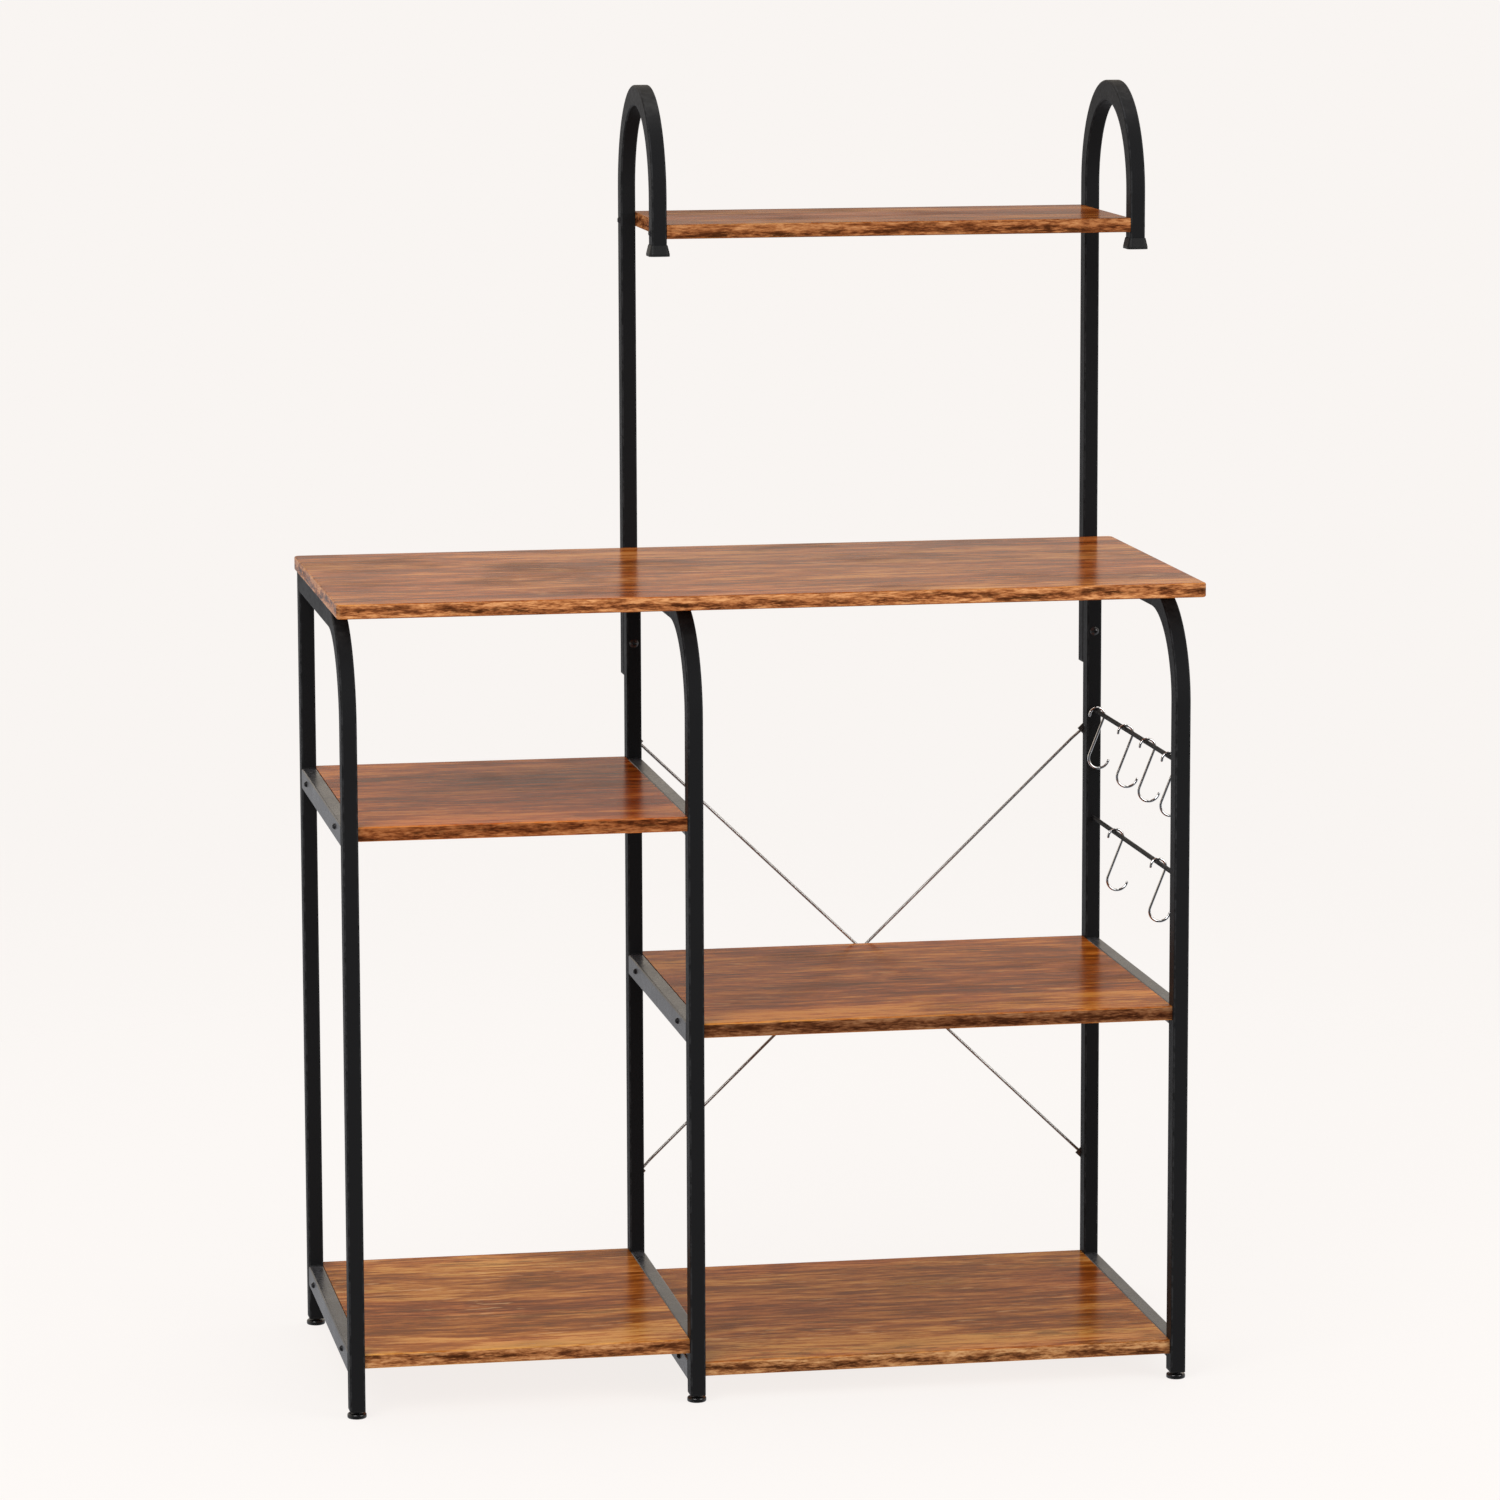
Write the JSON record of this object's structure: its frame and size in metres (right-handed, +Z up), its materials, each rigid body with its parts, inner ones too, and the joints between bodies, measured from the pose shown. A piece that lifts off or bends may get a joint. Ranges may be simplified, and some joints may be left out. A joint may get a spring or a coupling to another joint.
{
  "type": "kitchen shelving unit",
  "caption": "Free-standing kitchen rack: bent tube frames with wood-grain boards, a raised back shelf between two bent canes, side hook rods with wire hooks, and levelling feet.",
  "frame": {"origin": "centre of the bounding box in plan, on the floor under the feet", "axes": "+X to the user's right along the worktop, the front faces -Y, +Z up"},
  "size_m": [0.9, 0.448, 1.345],
  "materials": {
    "frame_black": "satin powder coat",
    "board_brown": "semi-gloss wood-grain laminate",
    "brace_steel": "dull zinc",
    "hook_chrome": "bright",
    "plastic_black": "fine matt",
    "foot_black": "gloss",
    "fastener_black": "black oxide"
  },
  "bodies": {
    "frame": {"front_post_left": "frame_black", "front_post_middle": "frame_black", "front_post_right": "frame_black", "front_bend_left": "frame_black", "front_bend_middle": "frame_black", "front_bend_right": "frame_black", "top_tube_left": "frame_black", "top_tube_middle": "frame_black", "top_tube_right": "frame_black", "rear_post_left": "frame_black", "rear_post_middle": "frame_black", "rear_post_right": "frame_black", "rails_left": "frame_black", "rails_middle": "frame_black", "rails_right": "frame_black", "worktop": "board_brown", "shelf_left_middle": "board_brown", "shelf_left_bottom": "board_brown", "shelf_right_middle": "board_brown", "shelf_right_bottom": "board_brown", "shelf_top": "board_brown", "cane_left": "frame_black", "cane_right": "frame_black", "cane_caps": "plastic_black", "cane_plugs": "plastic_black", "brace_rod_falling": "brace_steel", "brace_rod_rising": "brace_steel", "hook_rod_upper": "frame_black", "hook_rod_lower": "frame_black", "post_inserts": "plastic_black", "shelf_screws": "fastener_black", "worktop_screws": "fastener_black", "top_shelf_screws": "fastener_black", "cane_bolts": "fastener_black", "cane_nuts": "fastener_black", "brace_screws": "brace_steel"},
    "hook_1": {"hook_1": "hook_chrome"},
    "hook_2": {"hook_2": "hook_chrome"},
    "hook_3": {"hook_3": "hook_chrome"},
    "hook_4": {"hook_4": "hook_chrome"},
    "hook_5": {"hook_5": "hook_chrome"},
    "hook_6": {"hook_6": "hook_chrome"},
    "foot_left_front": {"foot_left_front": "foot_black"},
    "foot_left_rear": {"foot_left_rear": "foot_black"},
    "foot_middle_front": {"foot_middle_front": "foot_black"},
    "foot_middle_rear": {"foot_middle_rear": "foot_black"},
    "foot_right_front": {"foot_right_front": "foot_black"},
    "foot_right_rear": {"foot_right_rear": "foot_black"}
  },
  "joints": [
    {"name": "hook_1_swing", "type": "hinge", "parent": "frame", "child": "hook_1", "pos_m": [0.426, 0.16009, 0.654], "axis": [0, 1, 0], "range_deg": [-60, 60]},
    {"name": "hook_2_swing", "type": "hinge", "parent": "frame", "child": "hook_2", "pos_m": [0.426, 0.02811, 0.654], "axis": [0, 1, 0], "range_deg": [-60, 60]},
    {"name": "hook_3_swing", "type": "hinge", "parent": "frame", "child": "hook_3", "pos_m": [0.426, -0.07002, 0.654], "axis": [0, 1, 0], "range_deg": [-60, 60]},
    {"name": "hook_4_swing", "type": "hinge", "parent": "frame", "child": "hook_4", "pos_m": [0.426, -0.1659, 0.654], "axis": [0, 1, 0], "range_deg": [-60, 60]},
    {"name": "hook_5_swing", "type": "hinge", "parent": "frame", "child": "hook_5", "pos_m": [0.426, 0.06985, 0.534], "axis": [0, 1, 0], "range_deg": [-60, 60]},
    {"name": "hook_6_swing", "type": "hinge", "parent": "frame", "child": "hook_6", "pos_m": [0.426, -0.12116, 0.534], "axis": [0, 1, 0], "range_deg": [-60, 60]},
    {"name": "foot_left_front_level", "type": "slide", "parent": "frame", "child": "foot_left_front", "axis": [0, 0, -1], "range_m": [0, 0.01]},
    {"name": "foot_left_rear_level", "type": "slide", "parent": "frame", "child": "foot_left_rear", "axis": [0, 0, -1], "range_m": [0, 0.01]},
    {"name": "foot_middle_front_level", "type": "slide", "parent": "frame", "child": "foot_middle_front", "axis": [0, 0, -1], "range_m": [0, 0.01]},
    {"name": "foot_middle_rear_level", "type": "slide", "parent": "frame", "child": "foot_middle_rear", "axis": [0, 0, -1], "range_m": [0, 0.01]},
    {"name": "foot_right_front_level", "type": "slide", "parent": "frame", "child": "foot_right_front", "axis": [0, 0, -1], "range_m": [0, 0.01]},
    {"name": "foot_right_rear_level", "type": "slide", "parent": "frame", "child": "foot_right_rear", "axis": [0, 0, -1], "range_m": [0, 0.01]}
  ]
}
